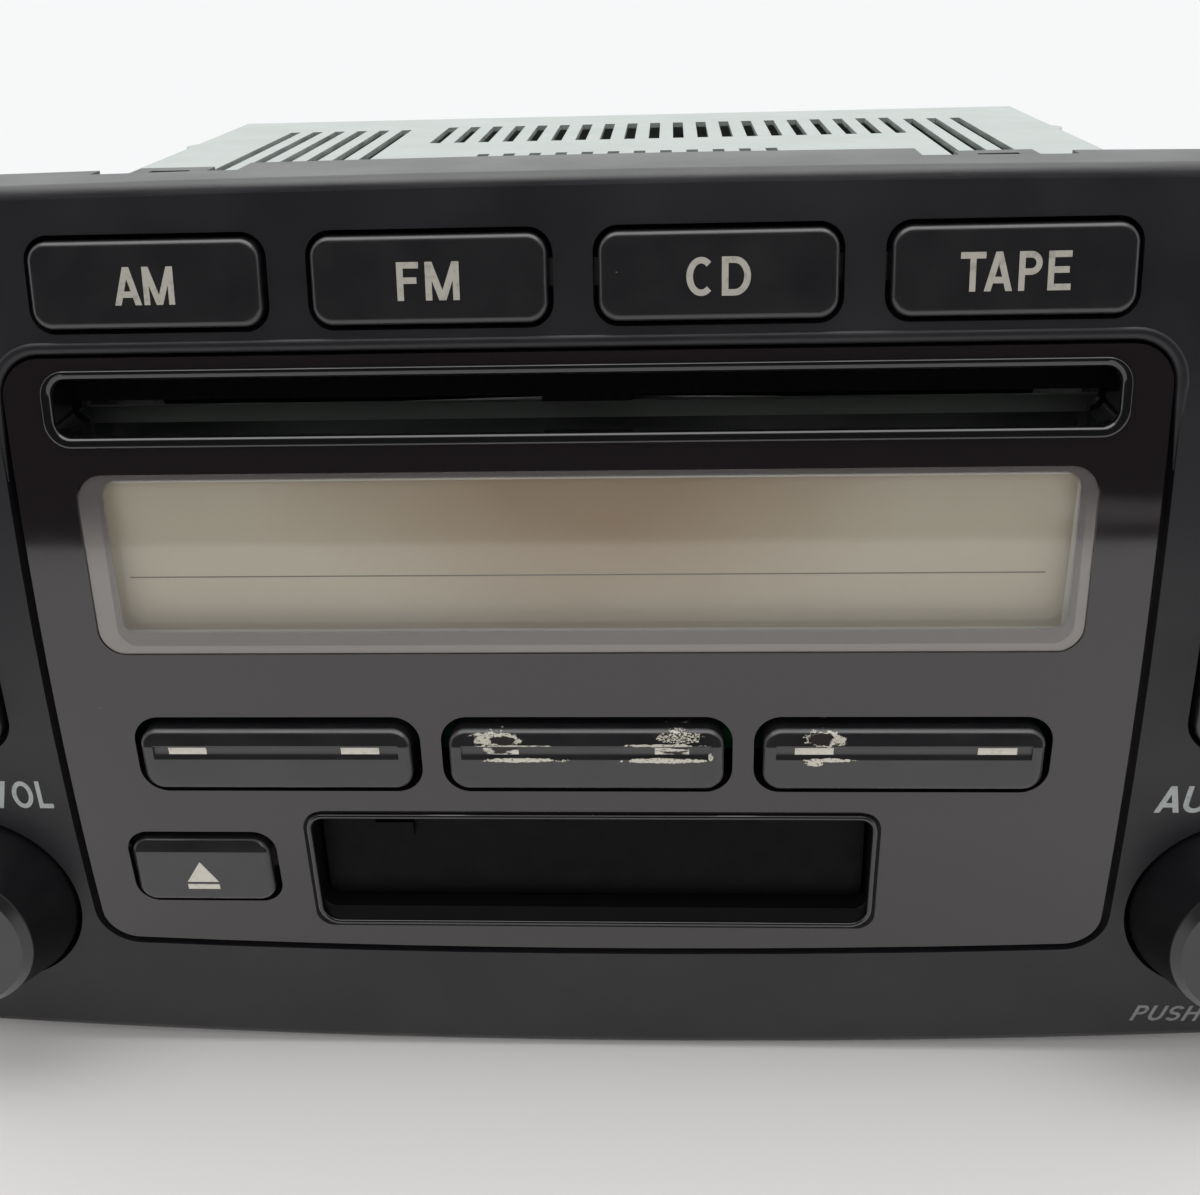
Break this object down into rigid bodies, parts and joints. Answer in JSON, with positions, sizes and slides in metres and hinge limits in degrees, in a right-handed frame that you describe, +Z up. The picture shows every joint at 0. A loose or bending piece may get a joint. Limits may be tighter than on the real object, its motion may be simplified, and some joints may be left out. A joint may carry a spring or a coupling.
{
  "type": "car stereo",
  "caption": "Double-height dashboard radio with disc slot, cassette slot, display, push buttons, rockers and two push knobs",
  "frame": {"origin": "on the surface that the unit stands on, under the middle of its bounding box", "axes": "+X to the right as seen from the front, +Y to the back, +Z up; the face looks along -Y"},
  "size_m": [0.206, 0.218, 0.122],
  "materials": {
    "bezel_plastic": "fine-grained moulded plastic, matte near-black",
    "panel_plastic": "black moulded plastic, satin with a glossy coat",
    "rim_plastic": "glossy black moulded plastic",
    "key_plastic": "smooth black moulded plastic, polished by use",
    "knob_plastic": "soft-touch black plastic",
    "felt_black": "black flocked strip",
    "lens_plastic": "clear smoked display window",
    "lcd_glass": "liquid crystal glass, beige when off",
    "light_guide": "milky light guide",
    "white_plastic": "white moulded plastic",
    "board_green": "green solder-masked circuit board",
    "switch_black": "black moulded switch bodies",
    "zinc_steel": "zinc-plated sheet steel",
    "cover_steel": "galvanised sheet steel, pale grey-green",
    "screw_steel": "plated screws",
    "sink_aluminium": "extruded aluminium",
    "connector_nylon": "natural nylon",
    "chip_black": "black epoxy",
    "socket_metal": "nickel-plated socket",
    "tuner_tin": "tinned screening can",
    "can_sleeve": "printed plastic sleeve on aluminium cans",
    "deck_steel": "pressed steel deck",
    "soft_rubber": "soft rubber",
    "bright_steel": "ground and polished steel",
    "acetal": "natural acetal",
    "head_metal": "polished head shell"
  },
  "bodies": {
    "root": {"front_bezel": "bezel_plastic", "centre_panel": "panel_plastic", "cd_slot_frame": "rim_plastic", "display_lens": "lens_plastic", "lcd_panel": "lcd_glass", "light_guide": "light_guide", "display_holder": "white_plastic", "volume_encoder": "switch_black", "audio_encoder": "switch_black", "cassette_slot_frame": "rim_plastic", "front_circuit_board": "board_green", "key_switches": "switch_black", "case_screws": "screw_steel", "front_frame": "zinc_steel", "chassis_tray": "zinc_steel", "top_cover": "cover_steel", "rear_panel": "zinc_steel", "heat_sink": "sink_aluminium", "power_amplifier": "chip_black", "harness_socket": "connector_nylon", "antenna_socket": "socket_metal", "locating_stud": "screw_steel", "main_circuit_board": "board_green", "tuner_module": "tuner_tin", "filter_capacitors": "can_sleeve", "link_connector": "connector_nylon", "cd_deck_frame": "deck_steel", "cd_deck_dampers": "soft_rubber", "cd_spindle_motor": "deck_steel", "tape_deck_frame": "deck_steel", "tape_motor": "deck_steel"},
    "button_am": {"button_am": "key_plastic"},
    "button_fm": {"button_fm": "key_plastic"},
    "button_cd": {"button_cd": "key_plastic"},
    "button_tape": {"button_tape": "key_plastic"},
    "eject_button": {"eject_button": "key_plastic"},
    "preset_rocker_left": {"preset_rocker_left": "key_plastic"},
    "preset_rocker_centre": {"preset_rocker_centre": "key_plastic"},
    "preset_rocker_right": {"preset_rocker_right": "key_plastic"},
    "side_rocker_left": {"side_rocker_left": "key_plastic"},
    "side_rocker_right": {"side_rocker_right": "key_plastic"},
    "volume_plunger": {"volume_plunger": "acetal"},
    "volume_knob": {"volume_knob": "knob_plastic", "volume_shaft": "bright_steel"},
    "audio_plunger": {"audio_plunger": "acetal"},
    "audio_knob": {"audio_knob": "knob_plastic", "audio_shaft": "bright_steel"},
    "cd_shutter": {"cd_shutter": "felt_black"},
    "cassette_door": {"cassette_door": "bezel_plastic"},
    "cd_turntable": {"cd_turntable": "acetal"},
    "cd_clamper": {"cd_clamper": "acetal"},
    "cd_loading_roller": {"cd_loading_roller": "soft_rubber"},
    "cd_lead_screw": {"cd_lead_screw": "bright_steel"},
    "cd_laser_sled": {"cd_laser_sled": "switch_black"},
    "capstan_front": {"capstan_front": "bright_steel"},
    "capstan_back": {"capstan_back": "bright_steel"},
    "tape_motor_pulley": {"tape_motor_pulley": "acetal"},
    "reel_spindle_front": {"reel_spindle_front": "acetal"},
    "reel_spindle_back": {"reel_spindle_back": "acetal"},
    "tape_head": {"tape_head": "head_metal"}
  },
  "joints": [
    {"name": "button_am_push", "type": "slide", "parent": "root", "child": "button_am", "axis": [0, 1, 0], "range_m": [0, 0.001], "stiffness_N_per_m": 300},
    {"name": "button_fm_push", "type": "slide", "parent": "root", "child": "button_fm", "axis": [0, 1, 0], "range_m": [0, 0.001], "stiffness_N_per_m": 300},
    {"name": "button_cd_push", "type": "slide", "parent": "root", "child": "button_cd", "axis": [0, 1, 0], "range_m": [0, 0.001], "stiffness_N_per_m": 300},
    {"name": "button_tape_push", "type": "slide", "parent": "root", "child": "button_tape", "axis": [0, 1, 0], "range_m": [0, 0.001], "stiffness_N_per_m": 300},
    {"name": "eject_button_push", "type": "slide", "parent": "root", "child": "eject_button", "axis": [0, 1, 0], "range_m": [0, 0.001], "stiffness_N_per_m": 300},
    {"name": "preset_rocker_left_rock", "type": "hinge", "parent": "root", "child": "preset_rocker_left", "pos_m": [-0.03965, -0.09178, 0.0514], "axis": [0, 0, 1], "range_deg": [-3, 3], "stiffness_Nm_per_rad": 0.03},
    {"name": "preset_rocker_centre_rock", "type": "hinge", "parent": "root", "child": "preset_rocker_centre", "pos_m": [0, -0.09178, 0.0514], "axis": [0, 0, 1], "range_deg": [-3, 3], "stiffness_Nm_per_rad": 0.03},
    {"name": "preset_rocker_right_rock", "type": "hinge", "parent": "root", "child": "preset_rocker_right", "pos_m": [0.03965, -0.09178, 0.0514], "axis": [0, 0, 1], "range_deg": [-3, 3], "stiffness_Nm_per_rad": 0.03},
    {"name": "side_rocker_left_rock", "type": "hinge", "parent": "root", "child": "side_rocker_left", "pos_m": [-0.0849, -0.09178, 0.0737], "axis": [1, 0, 0], "range_deg": [-2.5, 2.5], "stiffness_Nm_per_rad": 0.06},
    {"name": "side_rocker_right_rock", "type": "hinge", "parent": "root", "child": "side_rocker_right", "pos_m": [0.0849, -0.09178, 0.0737], "axis": [1, 0, 0], "range_deg": [-2.5, 2.5], "stiffness_Nm_per_rad": 0.06},
    {"name": "volume_push", "type": "slide", "parent": "root", "child": "volume_plunger", "axis": [0, 1, 0], "range_m": [0, 0.001], "stiffness_N_per_m": 600},
    {"name": "volume_turn", "type": "hinge", "parent": "volume_plunger", "child": "volume_knob", "pos_m": [-0.0848, -0.09298, 0.0274], "axis": [0, 1, 0], "continuous": true},
    {"name": "audio_push", "type": "slide", "parent": "root", "child": "audio_plunger", "axis": [0, 1, 0], "range_m": [0, 0.001], "stiffness_N_per_m": 600},
    {"name": "audio_turn", "type": "hinge", "parent": "audio_plunger", "child": "audio_knob", "pos_m": [0.0848, -0.09298, 0.0274], "axis": [0, 1, 0], "continuous": true},
    {"name": "cd_shutter_drop", "type": "slide", "parent": "root", "child": "cd_shutter", "axis": [0, 0, -1], "range_m": [-0.003, 0.0025]},
    {"name": "cassette_door_swing", "type": "hinge", "parent": "root", "child": "cassette_door", "pos_m": [0, -0.09522, 0.0399], "axis": [1, 0, 0], "range_deg": [0, 80], "stiffness_Nm_per_rad": 0.0004, "springref_deg": -17.19},
    {"name": "turntable_spin", "type": "hinge", "parent": "root", "child": "cd_turntable", "pos_m": [0, -0.00498, 0.09], "axis": [0, 0, 1], "continuous": true},
    {"name": "clamper_spin", "type": "hinge", "parent": "root", "child": "cd_clamper", "pos_m": [0, -0.00498, 0.1], "axis": [0, 0, 1], "continuous": true},
    {"name": "loading_roller_spin", "type": "hinge", "parent": "root", "child": "cd_loading_roller", "pos_m": [0, -0.06348, 0.0906], "axis": [1, 0, 0], "continuous": true},
    {"name": "lead_screw_turn", "type": "hinge", "parent": "root", "child": "cd_lead_screw", "pos_m": [-0.024, 0.01702, 0.0815], "axis": [0, 1, 0], "range_deg": [0, 5041]},
    {"name": "laser_sled_run", "type": "slide", "parent": "root", "child": "cd_laser_sled", "axis": [0, 1, 0], "range_m": [0, 0.028]},
    {"name": "capstan_front_spin", "type": "hinge", "parent": "root", "child": "capstan_front", "pos_m": [0.024, -0.05398, 0.02], "axis": [0, 0, 1], "continuous": true},
    {"name": "capstan_back_spin", "type": "hinge", "parent": "root", "child": "capstan_back", "pos_m": [0.024, 0.01002, 0.02], "axis": [0, 0, 1], "continuous": true},
    {"name": "tape_motor_spin", "type": "hinge", "parent": "root", "child": "tape_motor_pulley", "pos_m": [-0.024, 0.04602, 0.02], "axis": [0, 0, 1], "continuous": true},
    {"name": "reel_front_spin", "type": "hinge", "parent": "root", "child": "reel_spindle_front", "pos_m": [-0.003, -0.04323, 0.02], "axis": [0, 0, 1], "continuous": true},
    {"name": "reel_back_spin", "type": "hinge", "parent": "root", "child": "reel_spindle_back", "pos_m": [-0.003, -0.00073, 0.02], "axis": [0, 0, 1], "continuous": true},
    {"name": "tape_head_press", "type": "slide", "parent": "root", "child": "tape_head", "axis": [-1, 0, 0], "range_m": [0, 0.005]}
  ],
  "couplings": [
    {"joint": "clamper_spin", "follows": "turntable_spin", "ratio": 1},
    {"joint": "lead_screw_turn", "follows": "laser_sled_run", "rad_per_m": 3141.6},
    {"joint": "capstan_front_spin", "follows": "capstan_back_spin", "ratio": -1},
    {"joint": "tape_motor_spin", "follows": "capstan_back_spin", "ratio": 4.25}
  ]
}
